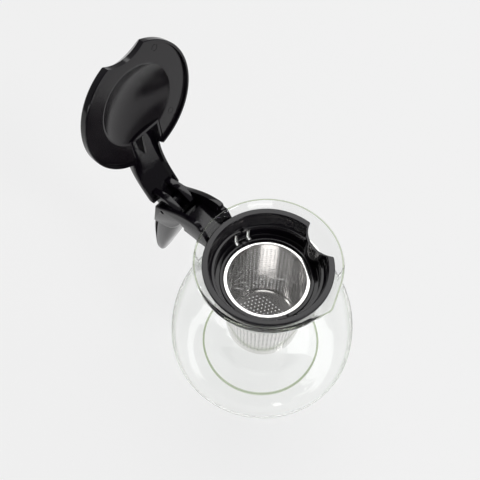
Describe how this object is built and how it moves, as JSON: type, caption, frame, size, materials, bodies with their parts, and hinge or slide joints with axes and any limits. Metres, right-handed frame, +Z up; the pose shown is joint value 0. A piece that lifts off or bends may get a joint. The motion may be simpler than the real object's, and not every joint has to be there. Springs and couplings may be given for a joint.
{
  "type": "glass teapot with infuser",
  "caption": "Round glass teapot with flared neck and pouring lip, black handle, hinged lid and a perforated steel infuser in a turning ring.",
  "frame": {"origin": "centre of the foot ring on the table", "axes": "+Z up along the glass's axis, +X towards the pouring lip, -X towards the handle, lid hinge along Y"},
  "size_m": [0.1856, 0.1306, 0.2251],
  "materials": {
    "glass": "clear, fire polished",
    "steel": "bright satin",
    "screw_steel": "plain turned",
    "black_plastic": "polished moulding",
    "satin_plastic": "satin moulding"
  },
  "bodies": {
    "pot": {"glass_body": "glass", "neck_band": "steel", "band_nut": "steel", "clamp_screw": "screw_steel", "clamp_washer": "screw_steel", "handle": "black_plastic", "handle_cover": "black_plastic", "hinge_pin": "screw_steel"},
    "lid": {"lid_cap": "black_plastic", "lid_inner_plate": "satin_plastic"},
    "strainer": {"strainer_rim": "steel", "strainer_wall": "steel", "strainer_base": "steel"},
    "holder": {"infuser_holder": "black_plastic"}
  },
  "joints": [
    {"name": "lid_hinge", "type": "hinge", "parent": "pot", "child": "lid", "pos_m": [-0.0815, 0, 0.1073], "axis": [0, -1, 0], "range_deg": [-99.5, 0]},
    {"name": "strainer_lift", "type": "slide", "parent": "pot", "child": "strainer", "axis": [0, 0, 1], "range_m": [0, 0.099]},
    {"name": "holder_turn", "type": "hinge", "parent": "strainer", "child": "holder", "pos_m": [0, 0, 0.109], "axis": [0, 0, 1], "continuous": true}
  ]
}
